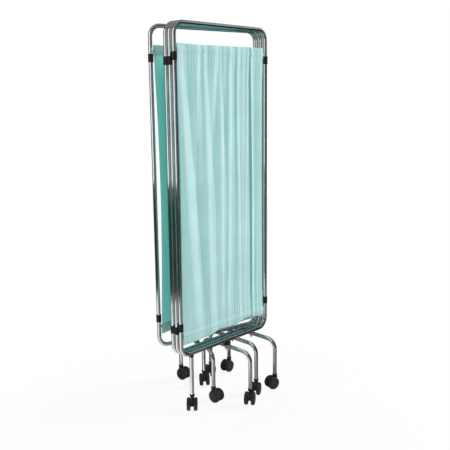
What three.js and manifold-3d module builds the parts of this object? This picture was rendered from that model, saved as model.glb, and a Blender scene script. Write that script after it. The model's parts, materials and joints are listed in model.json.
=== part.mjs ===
// Folding ward screen: four curtained tube panels on arched feet with twin-wheel castors.
// Millimetres, +Z up, +Y towards the back. Each panel is drawn from its left upright along +X.
import * as THREE from "three";
import { mergeVertices } from "three/addons/utils/BufferGeometryUtils.js";
import Module from "manifold-3d";

const wasm = await Module();
wasm.setup();

// Whole screen
const overallHeight = 1740;
const panelWidth = 575;
const hingePitch = 26;
const rearHingeTurn = THREE.MathUtils.degToRad(28);
const rearPanelOpen = THREE.MathUtils.degToRad(10.3);

// Chrome tube
const tubeDiameter = 19;
const frameBendRadius = 48;
const footBendRadius = 46;
const bottomRailHeight = 271;
const runningGap = 0.3;
const cutOverrun = 2;

// Arched feet: their places along the rail are shares of the panel from its left upright
const footSpan = 315;
const footEndHeight = 73;
const saddleThickness = 7;
const footPlaceShares = { 1: 0.501, 2: 0.866, 3: 0.675, 4: 0.355 };
const footTurn = { 1: 0, 2: 0, 3: 0, 4: THREE.MathUtils.degToRad(-2.5) };
const edgeLegPlace = 60;

// Saddles, ferrule and bolts between rail and foot
const saddleWidth = 27;
const saddleLip = 5;
const saddleCorner = 5;
const ferruleRadius = 11;
const ferruleSeat = 3;
const ferruleLip = 3;
const ferruleSkirt = 4;
const boltRadius = 3;
const boltHeadRadius = 5.6;
const boltHeadHeight = 3.6;
const boltTail = 12;
const nutRadius = 5.4;
const nutHeight = 5;
const legScrewDepth = 24;

// Hinge clips and end clips
const clipHeight = 36;
const clipWall = 2.2;
const clipWebWidth = 11;
const clipEdge = 1;
const upperClipDrop = 138;
const lowerClipRise = 138;
const middleClipDrop = 18;

// Curtain rods and curtains
const rodRadius = 3;
const rodSeatDepth = 5;
const upperRodDrop = 110.5;
const lowerRodRise = 94;
const curtainSideGap = 4;
const curtainHeader = 25;
const curtainFrill = 36;
const curtainTopSag = 2;
const curtainHemWave = 10;
const curtainCore = 4.6;
const foldDepth = 5.6;

// Castors
const wheelRadius = 31.5;
const wheelWidth = 17.5;
const wheelGap = 16;
const wheelCrown = 4;
const wheelDish = 2;
const wheelFaceRadius = 21;
const wheelEdge = 3;
const axleRadius = 3;
const castorTrail = 18;
const castorWebThickness = 13.4;
const castorWebRadius = 28.5;
const castorBossRadius = 12;
const castorNeckRadius = 12;
const castorNeckRise = 1.5;
const castorArmHalf = 10.5;
const stemRadius = 5.4;
const stemLength = 34;

// Facet counts
const tubeSides = 14;
const frameBendSteps = 5;
const footBendSteps = 4;
const wheelSides = 14;
const smallSides = 8;
const clipArcSteps = 7;
const webArcSteps = 5;
const columnsPerFold = 4;
const curtainRows = 5;

// Fold crests across a curtain, as shares of its width, and how they fan out towards the hem
const foldCrestShares = [0, 0.08, 0.185, 0.27, 0.345, 0.475, 0.555, 0.635, 0.71, 0.82, 0.9, 1];
const foldFanShare = 0.03;
const hemFoldShare = 0.75;

// Castor headings in the folded position, the way each castor trails from its leg
const degrees = THREE.MathUtils.degToRad;
const castorHeading = {
  edge_1: degrees(-136),
  rear_1: degrees(-128),
  front_1: degrees(-147),
  rear_2: degrees(-173),
  front_2: degrees(165),
  rear_3: degrees(-151),
  front_3: degrees(-151),
  rear_4: degrees(-85) + rearPanelOpen,
  front_4: degrees(-85) + rearPanelOpen,
};

// Derived sizes
const tubeRadius = tubeDiameter / 2;
const topRailHeight = overallHeight - tubeRadius;
const footBarHeight = bottomRailHeight - tubeDiameter - saddleThickness;
const upperClipHeight = topRailHeight - upperClipDrop;
const lowerClipHeight = bottomRailHeight + lowerClipRise;
const upperRodHeight = topRailHeight - upperRodDrop;
const lowerRodHeight = bottomRailHeight + lowerRodRise;
const curtainTop = upperRodHeight + curtainHeader;
const curtainBottom = lowerRodHeight - curtainFrill;
const clipBore = tubeRadius + runningGap;
const clipRadius = clipBore + clipWall;
const axleHeight = wheelRadius * Math.cos(Math.PI / wheelSides);
const wheelOuter = wheelGap / 2 + wheelWidth;
const curtainInset = tubeRadius + curtainSideGap;

// Materials
const finish = (color, roughness, metalness) =>
  new THREE.MeshStandardMaterial({ color, roughness, metalness });
const chrome = finish(0xc9ccd0, 0.12, 1);
const steel = finish(0xa9acb0, 0.35, 1);
const blackPlastic = finish(0x17181a, 0.45, 0);
const greyPlastic = finish(0x323333, 0.5, 0);
const wheelPlastic = finish(0x3a3b3b, 0.55, 0);
const curtainCloth = finish(0x9fd6ce, 0.85, 0);

// A route that an extrusion follows, with one station for each ring of the tube
class TubeRoute extends THREE.Curve {
  constructor() {
    super();
    this.stations = [];
  }
  add(point, tangent) {
    this.stations.push({ point, tangent: tangent.clone().normalize() });
    return this;
  }
  // A bend from one direction to another about a centre, without its first station
  bend(centre, from, to, radius, steps) {
    for (let i = 1; i <= steps; i++) {
      const turn = (Math.PI / 2) * (i / steps);
      const outward = from.clone().multiplyScalar(Math.sin(turn));
      outward.addScaledVector(to, -Math.cos(turn));
      const tangent = from.clone().multiplyScalar(Math.cos(turn));
      tangent.addScaledVector(to, Math.sin(turn));
      this.add(centre.clone().addScaledVector(outward, radius), tangent);
    }
    return this;
  }
  get steps() {
    return this.stations.length - 1;
  }
  getUtoTmapping(u) {
    return u;
  }
  getPoint(t) {
    return this.stations[Math.round(t * this.steps)].point.clone();
  }
  getTangent(t) {
    return this.stations[Math.round(t * this.steps)].tangent.clone();
  }
}

// Turn a closed geometry into a solid
function solid(geometry) {
  const bare = geometry.index ? geometry.toNonIndexed() : geometry.clone();
  const shape = new THREE.BufferGeometry();
  shape.setAttribute("position", bare.getAttribute("position"));
  const merged = mergeVertices(shape, 1e-4);
  const vertProperties = new Float32Array(merged.attributes.position.array);
  const triVerts = new Uint32Array(merged.index.array);
  return new wasm.Manifold(new wasm.Mesh({ numProp: 3, vertProperties, triVerts }));
}

// Turn a solid back into a geometry with flat faces
function geometryOf(body) {
  const mesh = body.getMesh();
  const geometry = new THREE.BufferGeometry();
  geometry.setAttribute("position", new THREE.BufferAttribute(mesh.vertProperties, 3));
  geometry.setIndex(new THREE.BufferAttribute(mesh.triVerts, 1));
  const flat = geometry.toNonIndexed();
  flat.computeVertexNormals();
  return flat;
}

function part(name, geometry, material) {
  const mesh = new THREE.Mesh(geometry, material);
  mesh.name = name;
  return mesh;
}

function roundSection(radius, sides) {
  const section = new THREE.Shape();
  section.absarc(0, 0, radius, 0, 2 * Math.PI);
  return { section, curveSegments: sides / 2 };
}

// Radius of a faceted bore that clears a round bar all the way round
function boreFor(radius) {
  return (radius + runningGap) / Math.cos(Math.PI / smallSides);
}

// Tube along a route; a closed route keeps only its skin
function tube(route, closed) {
  const { section, curveSegments } = roundSection(tubeRadius, tubeSides);
  const geometry = new THREE.ExtrudeGeometry(section, {
    extrudePath: route,
    steps: route.steps,
    curveSegments,
    bevelEnabled: false,
  });
  if (!closed) return geometry;
  const skin = geometry.groups[1];
  const corners = geometry.getAttribute("position").array;
  const kept = corners.slice(skin.start * 3, (skin.start + skin.count) * 3);
  const loop = new THREE.BufferGeometry();
  loop.setAttribute("position", new THREE.BufferAttribute(kept, 3));
  return loop;
}

// Upright round bar between two heights
function bar(radius, low, high, sides) {
  const geometry = new THREE.CylinderGeometry(radius, radius, high - low, sides);
  return geometry.rotateX(Math.PI / 2).translate(0, 0, (low + high) / 2);
}

// Level round bar along X, centred on x = 0
function crossBar(radius, length, height, sides) {
  const geometry = new THREE.CylinderGeometry(radius, radius, length, sides);
  return geometry.rotateZ(Math.PI / 2).translate(0, 0, height);
}

const along = {
  x: new THREE.Vector3(1, 0, 0),
  y: new THREE.Vector3(0, 1, 0),
  z: new THREE.Vector3(0, 0, 1),
};
const back = (axis) => axis.clone().negate();
const at = (x, y, z) => new THREE.Vector3(x, y, z);

// Closed loop of tube with four bends, starting at the middle of the bottom rail
function frameRoute() {
  const r = frameBendRadius;
  const low = bottomRailHeight;
  const high = topRailHeight;
  const right = panelWidth;
  const n = frameBendSteps;
  return new TubeRoute()
    .add(at(right / 2, 0, low), along.x)
    .add(at(right - r, 0, low), along.x)
    .bend(at(right - r, 0, low + r), along.x, along.z, r, n)
    .add(at(right, 0, high - r), along.z)
    .bend(at(right - r, 0, high - r), along.z, back(along.x), r, n)
    .add(at(r, 0, high), back(along.x))
    .bend(at(r, 0, high - r), back(along.x), back(along.z), r, n)
    .add(at(0, 0, low + r), back(along.z))
    .bend(at(r, 0, low + r), back(along.z), along.x, r, n)
    .add(at(right / 2, 0, low), along.x);
}

// Frame with blind seats for the curtain rods and through holes for the bolts
function frameGeometry(boltPlaces) {
  let body = solid(tube(frameRoute(), true));
  const reach = panelWidth - tubeDiameter + 2 * rodSeatDepth;
  for (const height of [lowerRodHeight, upperRodHeight]) {
    const seat = crossBar(boreFor(rodRadius), reach, height, smallSides);
    body = body.subtract(solid(seat.translate(panelWidth / 2, 0, 0)));
  }
  const low = bottomRailHeight - tubeDiameter;
  for (const place of boltPlaces) {
    const hole = bar(boreFor(boltRadius), low, low + 2 * tubeDiameter, smallSides);
    body = body.subtract(solid(hole.translate(place, 0, 0)));
  }
  return geometryOf(body);
}

// Inverted U of tube, its bar along Y under the rail, its ends bored for the castor stems
function footGeometry() {
  const r = footBendRadius;
  const side = footSpan / 2;
  const high = footBarHeight;
  const n = footBendSteps;
  const route = new TubeRoute()
    .add(at(0, -side, footEndHeight), along.z)
    .add(at(0, -side, high - r), along.z)
    .bend(at(0, r - side, high - r), along.z, along.y, r, n)
    .add(at(0, side - r, high), along.y)
    .bend(at(0, side - r, high - r), along.y, back(along.z), r, n)
    .add(at(0, side, footEndHeight), back(along.z));
  let body = solid(tube(route, false));
  for (const y of [-side, side]) body = body.subtract(stemSocket().translate([0, y, 0]));
  const hole = bar(boreFor(boltRadius), high - tubeDiameter, high + tubeDiameter, smallSides);
  return geometryOf(body.subtract(solid(hole)));
}

// Blind bore in the lower end of a leg
function stemSocket() {
  const top = footEndHeight + stemLength + runningGap;
  return solid(bar(boreFor(stemRadius), footEndHeight - cutOverrun, top, smallSides));
}

// Straight leg under the free end of the first panel
const edgeLegTop = bottomRailHeight - tubeRadius - ferruleSeat;
function edgeLegGeometry() {
  const leg = solid(bar(tubeRadius, footEndHeight, edgeLegTop, tubeSides));
  const radius = boreFor(boltRadius);
  const screwSeat = bar(radius, edgeLegTop - legScrewDepth, edgeLegTop + cutOverrun, smallSides);
  return geometryOf(leg.subtract(stemSocket()).subtract(solid(screwSeat)));
}

// Block with a cradle for the rail above and, turned to suit, one for the foot's bar below
function saddleGeometry(turn) {
  const low = footBarHeight + tubeRadius - saddleLip;
  const high = bottomRailHeight - tubeRadius + saddleLip;
  const half = saddleWidth / 2;
  const flat = half - saddleCorner;
  const outline = new THREE.Shape();
  outline.moveTo(-flat, -half);
  outline.lineTo(flat, -half);
  outline.lineTo(half, -flat);
  outline.lineTo(half, flat);
  outline.lineTo(flat, half);
  outline.lineTo(-flat, half);
  outline.lineTo(-half, flat);
  outline.lineTo(-half, -flat);
  const depth = high - low;
  const block = new THREE.ExtrudeGeometry(outline, { depth, bevelEnabled: false });
  const reach = 2 * saddleWidth;
  const rail = crossBar(clipBore, reach, bottomRailHeight, tubeSides);
  const foot = crossBar(clipBore, reach, footBarHeight, tubeSides).rotateZ(Math.PI / 2 + turn);
  const hole = bar(boreFor(boltRadius), low - cutOverrun, high + cutOverrun, smallSides);
  const body = solid(block.translate(0, 0, low));
  return geometryOf(body.subtract(solid(rail)).subtract(solid(foot)).subtract(solid(hole)));
}

// Socket over the top of the straight leg, cradling the rail
function ferruleGeometry() {
  const low = edgeLegTop - ferruleSkirt;
  const high = bottomRailHeight - tubeRadius + ferruleLip;
  const body = solid(bar(ferruleRadius, low, high, tubeSides));
  const rail = crossBar(clipBore, 2 * saddleWidth, bottomRailHeight, tubeSides);
  const socket = bar(clipBore, low - cutOverrun, edgeLegTop + runningGap, tubeSides);
  const hole = bar(boreFor(boltRadius), low, high, smallSides);
  return geometryOf(body.subtract(solid(rail)).subtract(solid(socket)).subtract(solid(hole)));
}

// Round bolt turned as one profile, from its tail to its domed head on top of the rail
function boltGeometry(tail, nut) {
  const head = bottomRailHeight + tubeRadius + runningGap;
  const crown = boltHeadHeight / 2;
  const profile = [at(0, tail), at(boltRadius, tail)];
  if (nut) {
    profile.push(at(boltRadius, nut - nutHeight), at(nutRadius, nut - nutHeight));
    profile.push(at(nutRadius, nut), at(boltRadius, nut));
  }
  profile.push(at(boltRadius, head), at(boltHeadRadius, head));
  profile.push(at(boltHeadRadius - crown, head + crown), at(0, head + boltHeadHeight));
  const points = profile.map((p) => new THREE.Vector2(p.x, p.y));
  return new THREE.LatheGeometry(points, smallSides).rotateX(Math.PI / 2);
}

function footBoltGeometry() {
  const nut = footBarHeight - tubeRadius - runningGap;
  return boltGeometry(nut - boltTail, nut);
}

// Single collar round an upright, turned about its axis
function endClipGeometry() {
  const half = clipHeight / 2;
  const profile = [
    [clipBore, -half],
    [clipRadius - clipEdge, -half],
    [clipRadius, clipEdge - half],
    [clipRadius, half - clipEdge],
    [clipRadius - clipEdge, half],
    [clipBore, half],
    [clipBore, -half],
  ];
  const points = profile.map(([x, y]) => new THREE.Vector2(x, y));
  return new THREE.LatheGeometry(points, tubeSides).rotateX(Math.PI / 2);
}

// Double collar joining two uprights a hinge pitch apart along Y
function hingeClipGeometry() {
  const neck = Math.asin(clipWebWidth / 2 / clipRadius);
  const quarter = Math.PI / 2;
  const outline = new THREE.Shape();
  outline.absarc(0, 0, clipRadius, quarter + neck, 5 * quarter - neck);
  outline.absarc(0, hingePitch, clipRadius, neck - quarter, 3 * quarter - neck);
  outline.closePath();
  for (const y of [0, hingePitch]) {
    const bore = new THREE.Path();
    bore.absarc(0, y, clipBore, 0, 2 * Math.PI);
    outline.holes.push(bore);
  }
  const clip = new THREE.ExtrudeGeometry(outline, {
    depth: clipHeight,
    curveSegments: clipArcSteps,
    bevelEnabled: false,
  });
  return clip.translate(0, 0, -clipHeight / 2);
}

function rodGeometry() {
  const length = panelWidth - tubeDiameter + 2 * (rodSeatDepth - runningGap);
  return crossBar(rodRadius, length, 0, smallSides);
}

// Place across the curtain of a point that lies some folds along
function foldShare(phase, crests) {
  const index = Math.min(Math.floor(phase), crests.length - 2);
  return THREE.MathUtils.lerp(crests[index], crests[index + 1], phase - index);
}

// Gathered curtain: a slab whose two faces carry the main folds, bored for its two rods
function curtainGeometry(mirrored) {
  const crests = mirrored ? foldCrestShares.map((s) => 1 - s).reverse() : foldCrestShares;
  const folds = crests.length - 1;
  const columns = folds * columnsPerFold;
  const slab = new THREE.BoxGeometry(1, 1, 1, columns, 1, curtainRows);
  const width = panelWidth - 2 * curtainInset;
  const corners = slab.getAttribute("position");
  for (let i = 0; i < corners.count; i++) {
    const phase = (corners.getX(i) + 0.5) * folds;
    const side = Math.sign(corners.getY(i));
    const rise = corners.getZ(i) + 0.5;
    const share = foldShare(phase, crests);
    const fan = foldFanShare * (1 - rise) * Math.sin(Math.PI * share);
    const crest = 0.5 + 0.5 * Math.cos(2 * Math.PI * phase + (side > 0 ? Math.PI : 0));
    const depth = foldDepth * (rise > 0 && rise < 1 ? 1 : hemFoldShare);
    const top = curtainTop - curtainTopSag * Math.sin(Math.PI * share);
    const bottom = curtainBottom + curtainHemWave * crest;
    const x = curtainInset + width * (share + fan);
    const y = side * (curtainCore + depth * crest);
    corners.setXYZ(i, x, y, THREE.MathUtils.lerp(bottom, top, rise));
  }
  let body = solid(slab);
  for (const height of [lowerRodHeight, upperRodHeight]) {
    const bore = crossBar(boreFor(rodRadius), panelWidth, height, smallSides);
    body = body.subtract(solid(bore.translate(panelWidth / 2, 0, 0)));
  }
  return geometryOf(body);
}

// Side view of the plate between the wheels, with X along the trail and Y up
function castorWebOutline() {
  const top = wheelRadius * 2 + castorNeckRise;
  const shoulder = Math.asin((castorTrail + castorArmHalf) / (castorBossRadius + castorWebRadius));
  const front = Math.acos((castorTrail - castorArmHalf) / castorWebRadius);
  const rear = Math.PI + shoulder;
  const outline = new THREE.Shape();
  outline.moveTo(castorArmHalf, top);
  outline.lineTo(-castorArmHalf, top);
  outline.lineTo(-castorArmHalf, axleHeight + castorBossRadius);
  outline.absarc(castorTrail, axleHeight, castorBossRadius, rear, 2 * Math.PI - shoulder / 2);
  outline.absarc(castorTrail, axleHeight, castorWebRadius, 0, Math.PI - front);
  outline.closePath();
  const bore = new THREE.Path();
  bore.absarc(castorTrail, axleHeight, axleRadius + runningGap, 0, 2 * Math.PI);
  outline.holes.push(bore);
  return outline;
}

// Castor body: the plate between the wheels, its neck and the stem that turns in the leg
function castorBodyGeometry() {
  const plate = new THREE.ExtrudeGeometry(castorWebOutline(), {
    depth: castorWebThickness,
    curveSegments: webArcSteps,
    bevelEnabled: false,
  });
  plate.rotateX(Math.PI / 2).translate(0, castorWebThickness / 2, 0);
  const neckLow = wheelRadius * 2 + castorNeckRise - runningGap;
  const neckTop = footEndHeight - runningGap;
  const neck = bar(castorNeckRadius, neckLow, neckTop, tubeSides);
  const stem = bar(stemRadius, neckTop - runningGap, footEndHeight + stemLength, smallSides);
  return geometryOf(solid(plate).add(solid(neck)).add(solid(stem)));
}

// Two wheels on their axle, turned as one profile about Y and set with a flat facet down
function castorWheelsGeometry() {
  const inner = wheelGap / 2;
  const half = [
    [0, wheelOuter - wheelDish],
    [wheelFaceRadius, wheelOuter],
    [wheelRadius - wheelEdge, wheelOuter - wheelEdge / 2],
    [wheelRadius, wheelOuter - wheelCrown],
    [wheelRadius, inner + wheelEdge],
    [wheelRadius - wheelEdge, inner],
    [axleRadius, inner],
  ];
  const mirror = half.map(([r, y]) => [r, -y]).reverse();
  const points = [...half, ...mirror].reverse().map(([r, y]) => new THREE.Vector2(r, y));
  return new THREE.LatheGeometry(points, wheelSides).rotateY(Math.PI / wheelSides);
}

// One castor: a swivelling group at the leg, with the wheels turning about their axle
function castor(name) {
  const swivel = new THREE.Group();
  swivel.name = "swivel_" + name;
  swivel.rotation.z = castorHeading[name];
  swivel.add(part("castor_" + name + "_body", castorBodyGeometry(), greyPlastic));
  const axle = new THREE.Group();
  axle.name = "axle_" + name;
  axle.position.set(castorTrail, 0, axleHeight);
  axle.add(part("castor_" + name + "_wheels", castorWheelsGeometry(), wheelPlastic));
  swivel.add(axle);
  return swivel;
}

function footPlace(number) {
  return panelWidth * footPlaceShares[number];
}

// Foot of one panel with its saddle, bolt and two castors
function foot(number) {
  const group = new THREE.Group();
  const turn = footTurn[number];
  group.position.set(footPlace(number), 0, 0);
  const arch = part("foot_" + number, footGeometry(), chrome);
  arch.rotation.z = turn;
  group.add(arch);
  group.add(part("saddle_" + number, saddleGeometry(turn), blackPlastic));
  group.add(part("foot_bolt_" + number, footBoltGeometry(), steel));
  for (const [side, y] of [["rear", footSpan / 2], ["front", -footSpan / 2]]) {
    const wheel = castor(side + "_" + number);
    wheel.position.copy(at(0, y, 0).applyAxisAngle(along.z, turn));
    group.add(wheel);
  }
  return group;
}

// Straight leg at the free end of the first panel
function edgeLeg() {
  const group = new THREE.Group();
  group.position.set(edgeLegPlace, 0, 0);
  group.add(part("edge_leg", edgeLegGeometry(), chrome));
  group.add(part("edge_leg_ferrule", ferruleGeometry(), blackPlastic));
  const tail = edgeLegTop - legScrewDepth + runningGap;
  group.add(part("edge_leg_bolt", boltGeometry(tail, null), steel));
  group.add(castor("edge_1"));
  return group;
}

// Frame, curtain, rods and foot of one panel, drawn from its left upright
function panel(number) {
  const group = new THREE.Group();
  const bolts = [footPlace(number)];
  if (number === 1) bolts.push(edgeLegPlace);
  group.add(part("frame_" + number, frameGeometry(bolts), chrome));
  group.add(part("curtain_" + number, curtainGeometry(number % 2 === 0), curtainCloth));
  for (const [end, height] of [["upper", upperRodHeight], ["lower", lowerRodHeight]]) {
    const rod = part(end + "_rod_" + number, rodGeometry(), steel);
    rod.position.set(panelWidth / 2, 0, height);
    group.add(rod);
  }
  group.add(foot(number));
  return group;
}

// Upper and lower clips at a place on a panel, turned about the upright
function clips(owner, name, geometry, x, turn, drop) {
  for (const [end, height] of [["upper", upperClipHeight], ["lower", lowerClipHeight]]) {
    const clip = part(end + "_" + name, geometry, blackPlastic);
    clip.position.set(x, 0, height - drop);
    clip.rotation.z = turn;
    owner.add(clip);
  }
}

// The folded stack: each panel hangs on the one in front of it, alternately right and left
function screen() {
  const first = panel(1);
  first.add(edgeLeg());
  clips(first, "end_clip_1", endClipGeometry(), 0, 0, 0);

  const hinge12 = new THREE.Group();
  hinge12.name = "hinge_1_2";
  hinge12.position.set(panelWidth, 0, 0);
  const second = panel(2);
  second.position.set(-panelWidth, hingePitch, 0);
  clips(second, "hinge_clip_1_2", hingeClipGeometry(), panelWidth, Math.PI, 0);
  clips(second, "hinge_clip_2_3", hingeClipGeometry(), 0, 0, middleClipDrop);
  hinge12.add(second);
  first.add(hinge12);

  const hinge23 = new THREE.Group();
  hinge23.name = "hinge_2_3";
  hinge23.position.set(0, hingePitch, 0);
  const third = panel(3);
  clips(third, "hinge_clip_3_4", hingeClipGeometry(), panelWidth, -rearHingeTurn, 0);
  hinge23.add(third);
  second.add(hinge23);

  const hinge34 = new THREE.Group();
  hinge34.name = "hinge_3_4";
  const offset = at(0, hingePitch, 0).applyAxisAngle(along.z, -rearHingeTurn);
  hinge34.position.set(panelWidth + offset.x, offset.y, 0);
  hinge34.rotation.z = -rearPanelOpen;
  const fourth = panel(4);
  fourth.position.set(-panelWidth, 0, 0);
  clips(fourth, "end_clip_4", endClipGeometry(), 0, 0, 0);
  hinge34.add(fourth);
  third.add(hinge34);
  return first;
}

// Stand the screen with the middle of its base at the origin
const stack = screen();
const middle = new THREE.Box3().setFromObject(stack, true).getCenter(new THREE.Vector3());
stack.position.set(-middle.x, -middle.y, 0);
const wardScreen = new THREE.Group();
wardScreen.name = "ward_screen";
wardScreen.add(stack);

export default wardScreen;
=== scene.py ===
import functools
import json
import math

import bpy
import numpy as np
from bpy.props import FloatProperty, FloatVectorProperty, IntProperty, PointerProperty
from mathutils import Matrix, Vector


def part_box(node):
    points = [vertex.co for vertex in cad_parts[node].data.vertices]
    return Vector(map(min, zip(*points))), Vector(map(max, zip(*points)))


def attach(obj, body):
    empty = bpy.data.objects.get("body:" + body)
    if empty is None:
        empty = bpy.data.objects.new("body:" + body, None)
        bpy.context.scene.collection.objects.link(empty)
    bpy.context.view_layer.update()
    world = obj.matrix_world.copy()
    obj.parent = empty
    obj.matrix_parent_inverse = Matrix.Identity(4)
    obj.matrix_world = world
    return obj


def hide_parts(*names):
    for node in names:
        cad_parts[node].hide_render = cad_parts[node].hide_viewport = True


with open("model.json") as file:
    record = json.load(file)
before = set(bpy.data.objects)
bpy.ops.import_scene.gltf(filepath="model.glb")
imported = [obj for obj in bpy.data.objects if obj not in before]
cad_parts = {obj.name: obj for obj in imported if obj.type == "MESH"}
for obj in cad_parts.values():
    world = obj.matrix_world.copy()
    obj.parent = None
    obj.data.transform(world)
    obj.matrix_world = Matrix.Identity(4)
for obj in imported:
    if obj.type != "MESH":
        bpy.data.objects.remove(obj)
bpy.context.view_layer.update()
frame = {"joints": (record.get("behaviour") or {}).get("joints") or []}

bl_info = {
    "name": "Folding ward screen",
    "version": (1, 0, 0),
    "blender": (4, 5, 0),
    "location": "3D View > Sidebar > Ward Screen",
    "description": "Dresses a folding curtained screen on castors",
    "category": "Object",
}

JOINTS = {joint["name"]: joint for joint in frame["joints"]}
PANELS = (1, 2, 3, 4)
ENDS = ("upper", "lower")
CASTORS = [name[len("swivel_"):] for name in JOINTS if name.startswith("swivel_")]
X, Y, Z = Vector((1, 0, 0)), Vector((0, 1, 0)), Vector((0, 0, 1))
RUNNING_GAP = 0.0003
SMOOTH_ANGLE = math.radians(38)
SQUARE = ((-1, -1), (1, -1), (1, 1), (-1, 1))


def joint_place(name):
    return Vector(JOINTS[name]["pos_m"])


FOLD_RIGHT = joint_place("hinge_1_2")
FOLD_LEFT = joint_place("hinge_2_3")
FOLD_REAR = joint_place("hinge_3_4")
PANEL_WIDTH = FOLD_RIGHT.x - FOLD_LEFT.x
HINGE_PITCH = (FOLD_LEFT.y - FOLD_RIGHT.y) / 2
TUBE_RADIUS = (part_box("frame_1")[1].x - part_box("frame_1")[0].x - PANEL_WIDTH) / 2
TOP_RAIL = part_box("frame_1")[1].z - TUBE_RADIUS
BOTTOM_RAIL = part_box("frame_1")[0].z + TUBE_RADIUS
FOOT_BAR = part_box("foot_1")[1].z - TUBE_RADIUS
FOOT_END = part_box("foot_1")[0].z
WHEEL_RADIUS = joint_place(f"spin_{CASTORS[0]}").z


def rod_heights(number):
    boxes = [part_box(f"{end}_rod_{number}") for end in ENDS]
    return [((low + high) / 2).z for low, high in boxes]


def shifted(x, y, z=0.0):
    return Matrix.Translation((x, y, z))


def spun(turn, axis="Z"):
    return Matrix.Rotation(turn, 4, axis)


def round_turns(sides):
    return [2 * math.pi * k / sides for k in range(sides)]


def on_circle(radius, turn):
    return radius * math.cos(turn), radius * math.sin(turn)


def new_mesh(name, points, faces, material):
    mesh = bpy.data.meshes.new(name)
    mesh.from_pydata([tuple(p) for p in points], [], faces)
    mesh.materials.append(material)
    return mesh


def new_object(name, data):
    made = bpy.data.objects.new(name, data)
    bpy.context.scene.collection.objects.link(made)
    return made


def length_prop(name, value, text):
    return FloatProperty(name=name, default=value, description=text, unit="LENGTH")


def angle_prop(name, degrees, text):
    return FloatProperty(
        name=name, default=math.radians(degrees), description=text, subtype="ANGLE"
    )


def colour_prop(name, value, text):
    return FloatVectorProperty(
        name=name, default=value, description=text, subtype="COLOR", size=3, min=0, max=1
    )


# Sizes and colours a user can change
class WardScreenSizes(bpy.types.PropertyGroup):
    frame_bend: length_prop("Frame bend", 0.048, "Centre-line radius of a frame corner")
    foot_bend: length_prop("Foot bend", 0.046, "Centre-line radius of a foot corner")
    rear_opening: angle_prop("Rear opening", 10.3, "How far the rear panel stands open")
    rear_hinge_turn: angle_prop("Rear clip turn", 28, "Turn of the rear clips on their upright")
    rod_radius: length_prop("Rod radius", 0.003, "Radius of a curtain rod")
    clip_radius: length_prop("Clip radius", 0.012, "Outer radius of a clip ring")
    clip_web: length_prop("Clip web", 0.011, "Width of the web between two rings")
    saddle_width: length_prop("Saddle width", 0.027, "Width of a rail saddle")
    ferrule_radius: length_prop("Ferrule radius", 0.011, "Outer radius of the ferrule")
    wheel_radius: length_prop("Wheel radius", WHEEL_RADIUS, "Radius of a castor wheel")
    wheel_width: length_prop("Wheel width", 0.0175, "Width of one wheel of a pair")
    wheel_gap: length_prop("Wheel gap", 0.016, "Gap between the two wheels of a pair")
    fold_slope: FloatProperty(
        name="Fold slope", default=0.28, min=0, description="Steepness of a curtain's folds"
    )
    tube_sides: IntProperty(
        name="Tube sides", default=32, min=8, description="Facets round a tube"
    )
    curtain_columns: IntProperty(
        name="Curtain columns", default=360, min=40, description="Mesh columns across"
    )


class WardScreenColours(bpy.types.PropertyGroup):
    curtain: colour_prop("Curtain", (0.545, 0.785, 0.79), "Colour of the curtain cloth")
    shine_through: colour_prop("Shine-through", (0.05, 0.62, 0.52), "Light through the cloth")
    chrome: colour_prop("Chrome", (0.86, 0.865, 0.875), "Tint of the chrome plate")
    zinc: colour_prop("Zinc", (0.5, 0.5, 0.5), "Tint of rods and bolts")
    clip: colour_prop("Clip", (0.012, 0.0125, 0.014), "Colour of clips and saddles")
    castor: colour_prop("Castor", (0.022, 0.023, 0.023), "Colour of castor bodies")
    wheel: colour_prop("Wheel", (0.033, 0.0335, 0.033), "Colour of castor wheels")


def sizes():
    return bpy.context.scene.ward_screen_sizes


def colours():
    return bpy.context.scene.ward_screen_colours


# Materials
def rgba(colour, factor=1.0):
    return tuple(min(1.0, channel * factor) for channel in colour) + (1.0,)


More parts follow.
